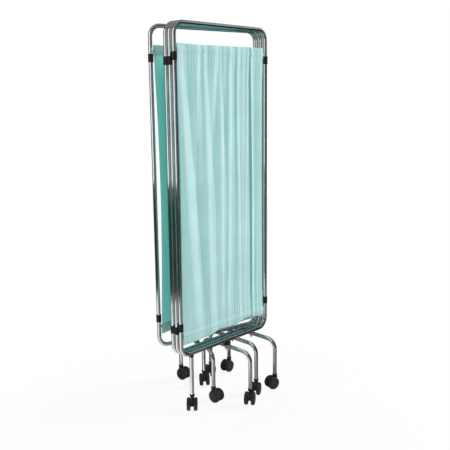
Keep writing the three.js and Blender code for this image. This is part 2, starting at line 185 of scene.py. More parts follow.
class Finish:
    """A material being built, with short calls for its nodes and links."""

    def __init__(self, name):
        self.material = bpy.data.materials.new(name)
        self.material.use_nodes = True
        self.nodes = self.material.node_tree.nodes
        self.links = self.material.node_tree.links
        self.shader = self.nodes["Principled BSDF"]

    def put(self, node, **values):
        """Give a node its values: names in lower case are settings, the others sockets."""
        for key, value in values.items():
            if key.islower():
                setattr(node, key, value)
            else:
                node.inputs[key.replace("_", " ")].default_value = value
        return node

    def add(self, kind, **values):
        return self.put(self.nodes.new("ShaderNode" + kind), **values)

    def set(self, **values):
        self.put(self.shader, **values)

    def link(self, source, target):
        self.links.new(source, target)

    def place(self, scale=(1, 1, 1), output="Object"):
        where = self.add("TexCoord")
        mapping = self.add("Mapping", Scale=scale)
        self.link(where.outputs[output], mapping.inputs["Vector"])
        return mapping.outputs["Vector"]

    def noise(self, scale, detail, roughness=0.5, place=None):
        node = self.add("TexNoise", Scale=scale, Detail=detail, Roughness=roughness)
        self.link(place or self.place(), node.inputs["Vector"])
        return node.outputs["Fac"]

    def ramp(self, value, stops):
        node = self.add("ValToRGB")
        elements = node.color_ramp.elements
        while len(elements) < len(stops):
            elements.new(0.5)
        for element, (position, colour) in zip(elements, stops):
            element.position = position
            element.color = colour
        self.link(value, node.inputs["Fac"])
        return node.outputs["Color"]

    def tones(self, value, colour, low, high, start=0.3, end=0.7):
        """A darker and a paler tone of one colour, by a value."""
        return self.ramp(value, [(start, rgba(colour, low)), (end, rgba(colour, high))])

    def colour(self, tones):
        self.link(tones, self.shader.inputs["Base Color"])

    def roughness(self, value, low, high):
        self.link(self.tones(value, (1, 1, 1), low, high), self.shader.inputs["Roughness"])

    def mix(self, first, second, factor, blend="MIX"):
        node = self.add("Mix", data_type="RGBA", blend_type=blend)
        for socket, value in (("Factor", factor), ("A", first), ("B", second)):
            self.feed(value, [s for s in node.inputs if s.name == socket and s.enabled][0])
        return [s for s in node.outputs if s.enabled][0]

    def feed(self, value, target):
        """Set a socket to a number, or link it to another node's output."""
        if hasattr(value, "is_linked"):
            self.link(value, target)
        else:
            target.default_value = value

    def blend(self, other, share):
        """Let another shader show through by a share."""
        mixer = self.add("MixShader")
        for value, target in zip((share, self.shader.outputs[0], other.outputs[0]), mixer.inputs):
            self.feed(value, target)
        self.link(mixer.outputs[0], self.nodes["Material Output"].inputs["Surface"])

    def bump(self, heights, last=None):
        for height, strength, distance in heights:
            node = self.add("Bump", Strength=strength, Distance=distance)
            self.link(height, node.inputs["Height"])
            if last:
                self.link(last, node.inputs["Normal"])
            last = node.outputs["Normal"]
        self.link(last, self.shader.inputs["Normal"])


def chrome_finish():
    """Bright plate with faint hazing, handling smears and fine draw lines."""
    finish = Finish("chrome_plate")
    finish.set(Metallic=1.0)
    broad = finish.noise(9.0, 3.0)
    finish.colour(finish.tones(broad, colours().chrome, 0.9, 1.08, 0.35, 0.65))
    finish.roughness(finish.noise(55.0, 5.0, 0.6), 0.07, 0.16)
    lines = finish.noise(900.0, 2.0, place=finish.place((1.0, 1.0, 0.02)))
    finish.bump([(finish.noise(34.0, 1.0), 0.08, 0.001), (lines, 0.03, 0.0002)])
    return finish.material


def zinc_finish():
    """Dull plated steel for rods and bolts."""
    finish = Finish("zinc_plate")
    finish.set(Metallic=1.0)
    cloud = finish.noise(120.0, 4.0)
    finish.colour(finish.tones(cloud, colours().zinc, 0.8, 1.15))
    finish.roughness(cloud, 0.25, 0.42)
    finish.bump([(finish.noise(700.0, 2.0), 0.06, 0.0003)])
    return finish.material


def moulded_finish(name, colour, gloss, grain):
    """Moulded plastic with a spark-eroded grain and slight uneven sheen."""
    finish = Finish(name)
    cloud = finish.noise(60.0, 3.0)
    finish.colour(finish.tones(cloud, colour, 0.8, 1.25))
    finish.roughness(cloud, gloss - 0.06, gloss + 0.08)
    finish.bump([(finish.noise(grain, 2.0), 0.25, 0.0002)])
    return finish.material


def curtain_finish():
    """Plain-woven cotton: crossing threads, slubs, soft creases and light showing through.

    The flank of each fold that rises to its crest, turned away from the key lamp, is tinted darker
    and greener: painted shade.
    """
    finish = Finish("woven_cotton")
    finish.set(Roughness=0.85, Sheen_Weight=0.12, Sheen_Roughness=0.45)
    base = finish.tones(finish.noise(7.0, 4.0), colours().curtain, 0.95, 1.05)
    threads = []
    for direction in ("X", "Y"):
        wave = finish.add("TexWave", bands_direction=direction, Scale=330.0, Distortion=1.2,
                          Detail=1.0)
        finish.link(finish.place(output="UV"), wave.inputs["Vector"])
        threads.append(wave.outputs["Fac"])
    weave = finish.mix(*threads, 0.5)
    slubs = finish.noise(60.0, 3.0, place=finish.place((1.0, 14.0, 1.0), "UV"))
    yarn = finish.mix(weave, slubs, 0.5)
    shade = finish.ramp(yarn, [(0.2, (0.93, 0.94, 0.94, 1)), (0.8, (1, 1, 1, 1))])
    # Painted shade: a darker, greener tint on the rising flank of each fold, by how steeply it
    # rises
    flank = finish.add("Attribute", attribute_name="painted_shade_flank")
    painted_flank_shade = finish.ramp(flank.outputs["Fac"], [(0.0, (1, 1, 1, 1)), (1.0, (0.70, 1, 0.97, 1))])
    shade = finish.mix(shade, painted_flank_shade, 1.0, "MULTIPLY")
    finish.colour(finish.mix(base, shade, 1.0, "MULTIPLY"))
    creases = finish.noise(26.0, 5.0, 0.6, finish.place((1.0, 0.35, 1.0), "UV"))
    finish.bump([(creases, 0.25, 0.004), (weave, 0.35, 0.00025)])
    glow = finish.add("BsdfTranslucent", Color=rgba(colours().shine_through))
    finish.blend(glow, 0.24)
    return finish.material


@functools.cache
def finish_of(slot):
    """The finish of a material slot, made once."""
    makers = {
        "chrome_tube": chrome_finish,
        "plated_steel": zinc_finish,
        "curtain_fabric": curtain_finish,
        "clip_plastic": lambda: moulded_finish("clip_moulding", colours().clip, 0.42, 1800.0),
        "castor_plastic": lambda: moulded_finish("castor_moulding", colours().castor, 0.5, 1500.0),
        "wheel_plastic": lambda: moulded_finish("wheel_tread", colours().wheel, 0.56, 1200.0),
    }
    return makers[slot]()


# Where each panel stands: its left upright at the origin and its rails along X
def panel_place(number):
    if number == 4:
        fold = shifted(FOLD_REAR.x, FOLD_REAR.y) @ spun(-sizes().rear_opening)
        return fold @ shifted(-PANEL_WIDTH, 0)
    return shifted(FOLD_LEFT.x, FOLD_RIGHT.y + (number - 1) * HINGE_PITCH)


# Mesh helpers
def add_piece(name, points, faces, slot, body, node, place, bevel=0.0):
    """Add one piece in place of a node of the solid model, riding on a body."""
    mesh = new_mesh(name, points, faces, finish_of(slot))
    mesh.transform(place)
    mesh.validate()
    mesh.shade_smooth()
    mesh.set_sharp_from_angle(angle=SMOOTH_ANGLE)
    piece = new_object(name, mesh)
    if bevel:
        soften(piece, bevel)
    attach(piece, body)
    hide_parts(node)
    return piece


def soften(piece, width):
    bevel = piece.modifiers.new("softened_edges", "BEVEL")
    bevel.width, bevel.segments = width, 2
    bevel.limit_method, bevel.angle_limit = "ANGLE", SMOOTH_ANGLE
    bevel.harden_normals = True


def band(a, b, sides):
    """Quads between two rings of points that start at a and at b."""
    return [(a + k, a + (k + 1) % sides, b + (k + 1) % sides, b + k) for k in range(sides)]


def end_caps(last, sides):
    """The two faces that close a shape whose last ring starts at last."""
    return [tuple(range(sides))[::-1], tuple(range(last, last + sides))]


def ring_faces(rings, sides, closed=False, first=0):
    """Quads between successive rings of points, each ring closed on itself."""
    faces = []
    for i in range(rings if closed else rings - 1):
        faces += band(first + i * sides, first + ((i + 1) % rings) * sides, sides)
    return faces


def turned(profile, sides):
    """Points and faces of a profile of (radius, height) turned about Z, ends closed."""
    points = []
    for radius, height in profile:
        points += [(*on_circle(radius, turn), height) for turn in round_turns(sides)]
    last = (len(profile) - 1) * sides
    return points, ring_faces(len(profile), sides) + end_caps(last, sides)


def swept(stations, across, radius, sides, closed=False):
    """Tube along stations of (point, tangent) that lie in the plane square to across."""
    points = []
    for point, tangent in stations:
        side = across.cross(tangent).normalized()
        points += [point + (across * math.cos(turn) + side * math.sin(turn)) * radius
                   for turn in round_turns(sides)]
    return points, ring_faces(len(stations), sides, closed)


def bend(centre, start, end, radius, steps):
    """Stations round a quarter bend from one direction to another."""
    stations = []
    for i in range(steps + 1):
        turn = math.pi / 2 * i / steps
        outward = start * math.sin(turn) - end * math.cos(turn)
        tangent = start * math.cos(turn) + end * math.sin(turn)
        stations.append((centre + outward * radius, tangent))
    return stations


# Frames
def frame_stations():
    r = sizes().frame_bend
    right, low, high = PANEL_WIDTH - r, BOTTOM_RAIL + r, TOP_RAIL - r
    stations = []
    for x, z, start, end in (
        (right, low, X, Z), (right, high, Z, -X), (r, high, -X, -Z), (r, low, -Z, X),
    ):
        stations += bend(Vector((x, 0, z)), start, end, r, 14)
    return stations


class WARDSCREEN_OT_frames(bpy.types.Operator):
    """Add the four closed frames of chrome tube"""

    bl_idname = "wardscreen.frames"
    bl_label = "Tube frames"

    def execute(self, context):
        points, faces = swept(frame_stations(), Y, TUBE_RADIUS, sizes().tube_sides, True)
        for number in PANELS:
            add_piece(f"tube_frame_{number}", points, faces, "chrome_tube",
                      f"panel_{number}", f"frame_{number}", panel_place(number))
        return {"FINISHED"}


# Feet
WALL_SHARE = 0.14


def open_end(points, faces, ring, sides, centre, down):
    """Turn the lip of an open tube end inwards, to the thickness of its wall.

    Each step of the lip is a share of the wall to go inwards and one to go downwards.
    """
    wall = TUBE_RADIUS * WALL_SHARE
    lip = points[ring * sides:(ring + 1) * sides]
    last = ring * sides
    for inwards, downwards in ((0.35, 0.35), (1, 0.1), (1, -8.0)):
        faces += band(last, len(points), sides)
        last = len(points)
        scale = 1 - inwards * wall / TUBE_RADIUS
        points += [centre + (Vector(p) - centre) * scale + down * wall * downwards for p in lip]


def foot_stations(span):
    r, side, steps = sizes().foot_bend, span / 2, 12
    high = FOOT_BAR - r
    return (
        [(Vector((0, -side, FOOT_END)), Z)]
        + bend(Vector((0, r - side, high)), Z, Y, r, steps)
        + bend(Vector((0, side - r, high)), Y, -Z, r, steps)
        + [(Vector((0, side, FOOT_END)), -Z)]
    )


def leg_ends(number):
    """Where the two legs of a foot stand: front and rear."""
    return [joint_place(f"swivel_{end}_{number}") for end in ("front", "rear")]


def foot_place(number):
    front, rear = leg_ends(number)
    along = rear - front
    centre = (front + rear) / 2
    return shifted(centre.x, centre.y) @ spun(math.atan2(-along.x, along.y))


class WARDSCREEN_OT_feet(bpy.types.Operator):
    """Add the arched feet and the straight leg of chrome tube"""

    bl_idname = "wardscreen.feet"
    bl_label = "Arched feet and leg"

    def execute(self, context):
        sides = sizes().tube_sides
        for number in PANELS:
            front, rear = leg_ends(number)
            stations = foot_stations((rear - front).length)
            points, faces = swept(stations, X, TUBE_RADIUS, sides)
            for ring in (0, len(stations) - 1):
                open_end(points, faces, ring, sides, stations[ring][0], -Z)
            add_piece(f"arched_foot_{number}", points, faces, "chrome_tube",
                      f"panel_{number}", f"foot_{number}", foot_place(number))
        self.add_leg(sides)
        return {"FINISHED"}

    def add_leg(self, sides):
        place = joint_place("swivel_edge_1")
        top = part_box("edge_leg")[1].z
        stations = [(Vector((0, 0, FOOT_END)), Z), (Vector((0, 0, top)), Z)]
        points, faces = swept(stations, X, TUBE_RADIUS, sides)
        open_end(points, faces, 0, sides, stations[0][0], -Z)
        add_piece("straight_leg", points, faces, "chrome_tube", "panel_1", "edge_leg",
                  shifted(place.x, place.y))


# Rods
ROD_SEAT = 0.0047


class WARDSCREEN_OT_rods(bpy.types.Operator):
    """Add the eight curtain rods"""

    bl_idname = "wardscreen.rods"
    bl_label = "Curtain rods"

    def execute(self, context):
        reach = PANEL_WIDTH / 2 - TUBE_RADIUS + ROD_SEAT
        radius = sizes().rod_radius
        rod = turned([(radius, -reach), (radius, reach)], 20)
        for number in PANELS:
            for end, height in zip(ENDS, rod_heights(number)):
                local = shifted(PANEL_WIDTH / 2, 0, height) @ spun(math.pi / 2, "Y")
                add_piece(f"curtain_rod_{end}_{number}", *rod, "plated_steel",
                          f"panel_{number}", f"{end}_rod_{number}", panel_place(number) @ local)
        return {"FINISHED"}


# Clips
CLIP_EDGE = 0.0011
SEAM_WIDTH = 0.0004
SEAM_DEPTH = 0.00035


def clip_outline(turn, pitch):
    """Outer radius of half a clip at an angle from its web; pitch 0 is a plain ring."""
    radius, half_web = sizes().clip_radius, sizes().clip_web / 2
    off = abs((turn + math.pi) % (2 * math.pi) - math.pi)
    if not pitch or off > math.pi / 2.2:
        return radius
    reach = min(pitch / 2 / max(math.cos(off), 1e-6), half_web / max(math.sin(off), 1e-6))
    return max(radius, reach)


def clip_ring(height, pitch, web_turn, sides=72):
    """Half clip round Z: chamfered ring whose web points towards web_turn."""
    bore = TUBE_RADIUS + RUNNING_GAP
    half = height / 2
    low, high = CLIP_EDGE - half, half - CLIP_EDGE
    section = [(0, -half, 0), (1, -half, -CLIP_EDGE), (1, low, 0), (1, -SEAM_WIDTH, 0),
               (1, 0, -SEAM_DEPTH), (1, SEAM_WIDTH, 0), (1, high, 0), (1, half, -CLIP_EDGE),
               (0, half, 0)]
    points = []
    for outer, z, inset in section:
        for turn in round_turns(sides):
            radius = clip_outline(turn, pitch) + inset if outer else bore
            points.append((*on_circle(radius, turn + web_turn), z))
    return points, ring_faces(len(section), sides, True)


def joined(*shapes):
    """Several (points, faces) shapes as one."""
    points, faces = [], []
    for shape_points, shape_faces in shapes:
        start = len(points)
        points += [tuple(p) for p in shape_points]
        faces += [tuple(start + i for i in face) for face in shape_faces]
    return points, faces


def moved(shape, place):
    return [place @ Vector(p) for p in shape[0]], shape[1]


class WARDSCREEN_OT_clips(bpy.types.Operator):
    """Add the double hinge clips and the single end clips"""

    bl_idname = "wardscreen.clips"
    bl_label = "Hinge and end clips"

    def execute(self, context):
        for name, owner, x, turn in (
            ("hinge_clip_1_2", 2, PANEL_WIDTH, math.pi),
            ("hinge_clip_2_3", 2, 0.0, 0.0),
            ("hinge_clip_3_4", 3, PANEL_WIDTH, -sizes().rear_hinge_turn),
            ("end_clip_1", 1, 0.0, 0.0),
            ("end_clip_4", 4, 0.0, 0.0),
        ):
            for end in ENDS:
                self.add_clip(name, end, owner, x, turn)
        return {"FINISHED"}

    def add_clip(self, name, end, owner, x, turn):
        node = f"{end}_{name}"
        low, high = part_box(node)
        height = high.z - low.z
        if name.startswith("hinge"):
            near = clip_ring(height, HINGE_PITCH, math.pi / 2)
            far = clip_ring(height, HINGE_PITCH, -math.pi / 2)
            shape = joined(near, moved(far, shifted(0, HINGE_PITCH)))
        else:
            shape = clip_ring(height, 0, 0)
        local = shifted(x, 0, (low.z + high.z) / 2) @ spun(turn)
        add_piece(f"{name}_{end}", *shape, "clip_plastic", f"panel_{owner}", node,
                  panel_place(owner) @ local)


# Saddles, ferrule and bolts
CORNER_POWER = 7.0
BOLT_RADIUS = 0.003
HEAD_RADIUS = 0.0056
TAIL_CHAMFER = 0.0008
THREAD_ROOT = 0.0026
THREAD_TURNS = 12
NUT_RADIUS = 0.0054
NUT_HEIGHT = 0.005
NUT_CHAMFER = 0.0004


def cradle(outline, top, bottom, rings=10, sides=64):
    """Solid between two height fields over a round or squared outline."""
    points = []
    for level in (top, bottom):
        for i in range(rings + 1):
            for turn in round_turns(sides):
                x, y = on_circle(outline(turn) * max(i / rings, 1e-3), turn)
                points.append((x, y, level(x, y)))
    half = (rings + 1) * sides
    faces = ring_faces(rings + 1, sides)
    faces += [face[::-1] for face in ring_faces(rings + 1, sides, first=half)]
    faces += band(rings * sides, half + rings * sides, sides)
    return points, faces + end_caps(half, sides)


def squared(half):
    """Outline radius of a square with rounded corners."""
    power = CORNER_POWER

    def radius(turn):
        c, s = abs(math.cos(turn)), abs(math.sin(turn))
        return half / (c ** power + s ** power) ** (1 / power)
    return radius


def trough(level, lip, direction, upward):
    """Height field of a lip with a round trough for a tube along direction."""
    seat = TUBE_RADIUS + RUNNING_GAP

    def height(x, y):
        across = abs(x * direction.y - y * direction.x)
        if across >= seat:
            return lip
        depth = math.sqrt(seat * seat - across * across)
        return min(lip, level - depth) if upward else max(lip, level + depth)
    return height


class WARDSCREEN_OT_saddles(bpy.types.Operator):
    """Add the moulded saddles, the ferrule and their bolts"""

    bl_idname = "wardscreen.saddles"
    bl_label = "Saddles and bolts"

    def execute(self, context):
        for number in PANELS:
            self.add_saddle(number)
        self.add_ferrule()
        return {"FINISHED"}

    def add_saddle(self, number):
        low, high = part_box(f"saddle_{number}")
        place = panel_place(number)
        foot = place.inverted() @ foot_place(number)
        centre = foot.translation
        along = foot.to_3x3() @ Y
        top = trough(BOTTOM_RAIL, high.z, X, True)
        under = trough(FOOT_BAR, low.z, along, False)
        shape = cradle(squared(sizes().saddle_width / 2), top, under)
        place = place @ shifted(centre.x, centre.y)
        add_piece(f"rail_saddle_{number}", *shape, "clip_plastic",
                  f"panel_{number}", f"saddle_{number}", place)
        self.add_bolt(f"foot_bolt_{number}", number, place, True)

    def add_ferrule(self):
        low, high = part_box("edge_leg_ferrule")
        place = joint_place("swivel_edge_1")
        local = shifted(place.x, place.y)
        top = trough(BOTTOM_RAIL, high.z, X, True)
        radius = sizes().ferrule_radius
        shape = cradle(lambda turn: radius, top, lambda x, y: low.z)
        add_piece("leg_ferrule", *shape, "clip_plastic", "panel_1",
                  "edge_leg_ferrule", local)
        self.add_bolt("edge_leg_bolt", 1, local, False)

    def add_bolt(self, node, number, place, nut):
        low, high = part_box(node)
        head = BOTTOM_RAIL + TUBE_RADIUS
        rise = high.z - head
        radius, crown = HEAD_RADIUS, 0.3
        profile = [(BOLT_RADIUS, head - 0.004), (radius, head), (radius, head + rise * crown)]
        for i in range(1, 6):
            turn = math.pi / 2 * i / 6
            lift = crown + (1 - crown) * math.sin(turn)
            profile.append((radius * math.cos(turn), head + rise * lift))
        profile.append((0.0004, high.z))
        shape = turned(profile, 28)
        if nut:
            shape = joined(shape, *self.nut_and_tail(low.z))
        add_piece(f"{node}_detail", *shape, "plated_steel", f"panel_{number}", node, place)

    def nut_and_tail(self, low):
        top, start = FOOT_BAR - TUBE_RADIUS, low + TAIL_CHAMFER
        tail = [(BOLT_RADIUS - TAIL_CHAMFER, low), (BOLT_RADIUS, start)]
        for i in range(THREAD_TURNS):
            z = start + (top - start) * i / THREAD_TURNS
            tail += [(BOLT_RADIUS, z), (THREAD_ROOT, z + 0.0004)]
        tail.append((BOLT_RADIUS, top))
        edge = NUT_RADIUS - NUT_CHAMFER
        nut = [(edge, top - NUT_HEIGHT), (NUT_RADIUS, top - NUT_HEIGHT + NUT_CHAMFER),
               (NUT_RADIUS, top - NUT_CHAMFER), (edge, top)]
        return turned(tail, 20), turned(nut, 6)


# Curtains
# Folds of the front curtain, left to right, each ending in a sharp crease on its right: the
# crease's place across the width and how steeply the fold falls to it, both at five heights from
# header to hem, then the widths over which it rises and falls at header, middle and hem. Widths
# are in thousandths of the curtain's, and steepness is in hundredths of the fold slope
FOLD_UNITS = (1000, 100, 1000, 1000)
FOLDS = [[[v / unit for v in values] for unit, values in zip(FOLD_UNITS, fold)] for fold in (
    ((62, 128, 180, 222, 260), (60, 80, 76, 74, 55), (80, 130, 160), (50, 116, 112)),
    ((253, 253, 240, 245, 270), (110, 70, 0, 0, 0), (100, 50, 50), (55, 45, 40)),
    ((318, 354, 388, 398, 405), (90, 86, 80, 76, 72), (35, 115, 85), (36, 92, 90)),
    ((450, 415, 410, 420, 430), (110, 20, 0, 0, 0), (80, 50, 40), (50, 40, 40)),
    ((485, 510, 525, 510, 492), (60, 95, 90, 75, 75), (30, 105, 75), (22, 68, 32)),
    ((540, 545, 550, 560, 560), (80, 10, 0, 0, 0), (30, 30, 30), (30, 30, 30)),
    ((612, 609, 600, 587, 563), (95, 95, 75, 85, 80), (45, 50, 60), (42, 50, 34)),
    ((700, 698, 708, 710, 710), (120, 110, 85, 80, 85), (30, 36, 70), (28, 32, 34)),
    ((767, 765, 755, 745, 735), (50, 50, 45, 40, 30), (45, 40, 20), (20, 18, 14)),
    ((820, 813, 797, 780, 767), (75, 65, 60, 60, 50), (34, 34, 26), (22, 22, 20)),
    ((861, 869, 878, 879, 878), (180, 205, 190, 160, 135), (17, 16, 20), (24, 30, 30)),
    ((940, 940, 940, 935, 930), (10, 10, 10, 40, 70), (30, 30, 24), (20, 20, 20)),
    ((995, 995, 995, 995, 995), (120, 140, 140, 130, 120), (70, 80, 80), (34, 24, 22)),
)]
# How deep the drop of cloth hangs behind its rods, its gap at each upright, its clearance round
# a rod, and how far from the rod each pocket is sewn
SLACK = 0.0036
EDGE_GAP = 0.0042
ROD_CLEARANCE = 0.0009
POCKET_SEAM = 0.019
# How deep the small puckers are, how far they lift the hem, and how many there are of each
# width, with its weight
PUCKER_DEPTH = 0.0007
HEM_PUCKER = 0.0012
PUCKER_WAVES = ((47, 0.5), (31, 0.35), (73, 0.25), (19, 0.3))
# Rise of the cloth towards a crest, by width, from which a flank gets the full painted shade
FLANK_SLOPE = 0.32
# Hundredths of the width with how many millimetres the hem lifts there, and the header's slope
HEM_LIFTS = (
    (0, -6), (10, -7), (20, -4), (30, -5), (36, 4), (42, 9), (45.5, 18), (49, 6), (56, 6),
    (64, 3), (70, 13), (76, 19), (81, 20), (86, 13), (91, 7), (100, 0),
)
HEADER_RISE = 0.006
# How far each curtain draws in from its left and right uprights between the rods, and the share
# of its width over which the cloth makes up for it
EDGE_BOWS = {1: (0.001, 0.004), 2: (0.004, 0.003), 3: (0.004, 0.004), 4: (0.0165, 0.008)}
BOW_REACH = 0.12


def at_height(values, rise):
    """Smooth curve through values given at even steps from the top, rise 1, to the hem."""
    last = len(values) - 1
    place = (1 - rise) * last
    i = min(int(place), last - 1)
    t = place - i
    a, b, c, d = (values[min(max(k, 0), last)] for k in (i - 1, i, i + 1, i + 2))
    return b + 0.5 * t * (c - a + t * (2 * a - 5 * b + 4 * c - d + t * (3 * (b - c) + d - a)))


def fold_heights(shares, rise, folds):
    """How far the cloth stands forward of its creases, as a share of the width.

    A fold falls straight from its crease and rounds off towards its crest, so the crest lies
    a little lower than a straight fall would put it.
    """
    forward = np.zeros_like(shares)
    crest = 1 - 0.5 ** 3 / 0.75
    for measures in folds:
        end, slope, climb, fall = (at_height(values, rise) for values in measures)
        slope = max(0.0, slope) * sizes().fold_slope
        t = (end - shares) / fall
        falling = np.where(t < 0.5, t, t - (t - 0.5) ** 3 / 0.75)
        u = np.clip((shares - (end - fall - climb)) / climb, 0, 1)
        rising = crest * u * (1.35 - 0.35 * u)
        forward += slope * fall * np.where(t < 0, 0, np.where(t < 1, falling, rising))
    return forward


def evened(values):
    """Each value averaged with its two neighbours on either side."""
    return np.convolve(np.pad(values, 2, "edge"), np.ones(5) / 5, "valid")


def hem_line(shares):
    """How far the hem lifts at each share of the width."""
    places, lifts = np.array(HEM_LIFTS).T
    even = np.linspace(0, 1, 61)
    return np.interp(shares, even, evened(np.interp(even, places / 100, lifts / 1000)))


def gathers(shares, seed):
    """Small puckers where the cloth is pushed up along its rod."""
    random = np.random.RandomState(seed)
    total = np.zeros_like(shares)
    for count, weight in PUCKER_WAVES:
        phase = random.uniform(0, 2 * math.pi)
        drift = random.uniform(0.5, 1.5) * np.sin(2 * math.pi * shares * 3 + phase * 2)
        total += weight * np.sin(2 * math.pi * count * shares + phase + drift)
    return total / math.fsum(weight for _, weight in PUCKER_WAVES)


def curtain_rows(number):
    """Stations down the strip: height, depth from the rod plane, fold share, pucker share."""
    low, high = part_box(f"curtain_{number}")
    top, bottom = high.z, low.z + 0.0005
    upper, lower = rod_heights(number)
    clear, seam = sizes().rod_radius + ROD_CLEARANCE, POCKET_SEAM
    rows = [(upper - seam, 0.0010, 0.66, 0.9), (upper - seam * 0.75, 0.0018, 0.45, 0.9)]
    rows += pocket(upper, clear, 1)
    rows += [(upper + 0.006, clear * 0.55, 0.3, 1.0), (upper + 0.012, 0.0010, 0.58, 1.0),
             (top - 0.0012, 0.0006, 0.64, 1.1), (top, 0.0, 0.64, 1.1),
             (top - 0.0012, -0.0006, 0.64, 1.1), (upper + 0.012, -0.0012, 0.64, 1.0),
             (upper + 0.006, -clear * 0.55, 0.64, 1.0)]
    rows += pocket(upper, clear, -1)[::-1]
    rows += [(upper - seam * 0.75, -0.0010, 0.68, 0.9), (upper - seam + 0.0015, -0.0004, 0.7, 0.9),
             (upper - seam, -0.0001, 0.71, 0.9), (upper - seam - 0.0015, -0.0001, 0.72, 0.9)]
    rows += drop_rows(upper - seam - 0.004, lower + seam + 0.004)
    rows += [(lower + seam + 0.0015, 0.0, 0.72, 0.8), (lower + seam, 0.0002, 0.7, 0.8),
             (lower + seam - 0.0015, -0.0002, 0.7, 0.8), (lower + seam * 0.75, -0.0008, 0.65, 0.9)]
    rows += pocket(lower, clear, -1)[::-1]
    rows += [(lower - 0.006, -clear * 0.72, 0.64, 1.0), (lower - 0.014, -0.0022, 0.66, 0.9),
             (bottom + 0.0018, -0.0014, 0.7, 0.8), (bottom, 0.0, 0.72, 0.7),
             (bottom + 0.0018, 0.0008, 0.7, 0.8), (lower - 0.014, 0.0010, 0.6, 0.9),
             (lower - 0.006, clear * 0.55, 0.3, 1.0)]
    rows += pocket(lower, clear, 1)
    rows += [(lower + seam * 0.75, 0.0020, 0.5, 0.9), (lower + seam, 0.0012, 0.7, 0.8)]
    return rows


def pocket(height, clear, side):
    """Three rows of cloth passing one side of a rod, upwards; the front one keeps its folds."""
    share = 0.64 if side < 0 else -0.15
    return [(height + step * 0.0035, side * clear * (0.85 if step else 1), share, 1.0)
            for step in (-1, 0, 1)]


def drop_rows(high, low, count=64):
    """Rows of the single drop of cloth between the two rod pockets, closest near its ends."""
    rows = []
    for i in range(count + 1):
        share = i / count
        z = high + (low - high) * (share - 0.09 * math.sin(2 * math.pi * share))
        near = min(high - z, z - low)
        ease = min(1.0, near / 0.10)
        ease = ease * ease * (3 - 2 * ease)
        pucker = max(0.0, 1 - near / 0.17) ** 1.6
        rows.append((z, SLACK * ease, 0.74 + 0.26 * ease, pucker))
    return rows


def curtain_folds(number):
    """The folds of one curtain, shifted and eased so that no two curtains are alike."""
    if number == 1:
        return FOLDS
    random = np.random.RandomState(20 + number)
    folds = []
    for ends, slopes, climbs, falls in FOLDS:
        shift, ease = random.uniform(-0.014, 0.014), random.uniform(0.7, 1.05)
        folds.append(([end + shift for end in ends], [slope * ease for slope in slopes],
                      climbs, falls))
    return folds


def drawn_in(number, shares, rise):
    """How far the cloth is pulled away from its uprights, to the right where positive."""
    left, right = EDGE_BOWS[number]
    arch = math.sin(math.pi * rise) ** 0.8
    return arch * (left * np.exp(-shares / BOW_REACH) - right * np.exp((shares - 1) / BOW_REACH))


def curtain_grid(number):
    """Points on a grid of rows and columns over one gathered curtain.

    The header's slope sets in above the upper rod, and the hem's lift below the lower one.
    """
    shares = np.linspace(0, 1, sizes().curtain_columns + 1)
    across = shares if number % 2 else 1 - shares
    folds = curtain_folds(number)
    puckers = gathers(shares, 40 + number)
    inset = TUBE_RADIUS + EDGE_GAP
    width = PANEL_WIDTH - 2 * inset
    rod, low = rod_heights(number)
    hems = hem_line(across) + HEM_PUCKER * puckers
    grid = []
    for z, offset, fold, pucker in curtain_rows(number):
        rise = float(np.clip((z - low) / (rod - low), 0, 1))
        forward = fold_heights(across, rise, folds) * width * fold
        small = puckers * pucker * PUCKER_DEPTH
        if abs(offset) > sizes().rod_radius:
            small = np.abs(small) * np.sign(-offset)
        header = float(np.clip((z - rod - 0.006) / 0.014, 0, 1))
        hem = float(np.clip((low - 0.008 - z) / 0.026, 0, 1))
        heights = z + header * HEADER_RISE * (across - 0.5) + hem * hems
        places = inset + width * shares + drawn_in(number, shares, rise)
        grid.append(np.stack([places, offset - forward - small, heights], axis=1))
    return np.array(grid)


def sheet_faces(rows, columns):
    """Quads of a sheet whose points run row by row."""
    corners = [row * columns + k for row in range(rows - 1) for k in range(columns - 1)]
    return [(a, a + 1, a + columns + 1, a + columns) for a in corners]


def flat_size(grid):
    """Width and length of the cloth before gathering, from the gathered grid."""
    length = float(np.linalg.norm(np.diff(grid, axis=0), axis=2).sum(axis=0).mean())
    a, b, c, d = grid[:-1, :-1], grid[1:, :-1], grid[:-1, 1:], grid[1:, 1:]
    halves = (np.linalg.norm(np.cross(b - e, c - e), axis=2).sum() / 2 for e in (a, d))
    return float(sum(halves)) / length, length


def add_flat_coordinates(mesh, grid):
    """UV in metres of flat cloth, so that the weave follows the gathered sheet."""
    runs = []
    for way in (1, 0):
        steps = np.diff(grid, axis=way, prepend=grid.take([0], way))
        runs.append(np.cumsum(np.linalg.norm(steps, axis=2), axis=way))
    flat = np.stack(runs, axis=2).reshape(-1, 2)
    layer = mesh.uv_layers.new(name="flat_cloth")
    index = np.zeros(len(mesh.loops), np.int32)
    mesh.loops.foreach_get("vertex_index", index)
    layer.data.foreach_set("uv", flat[index].astype(np.float32).ravel())


def add_flanks(mesh, grid):
    """Mark how steeply the cloth rises to its crest at each point, 1 for FLANK_SLOPE or more: the
    mask of the painted shade on each fold's rising flank.
    """
    rise = -np.gradient(grid[:, :, 1], axis=1) / np.gradient(grid[:, :, 0], axis=1)
    flank = np.clip(np.array([evened(row) for row in rise]) / FLANK_SLOPE, 0, 1)
    layer = mesh.attributes.new("painted_shade_flank", "FLOAT", "POINT")
    layer.data.foreach_set("value", flank.astype(np.float32).ravel())


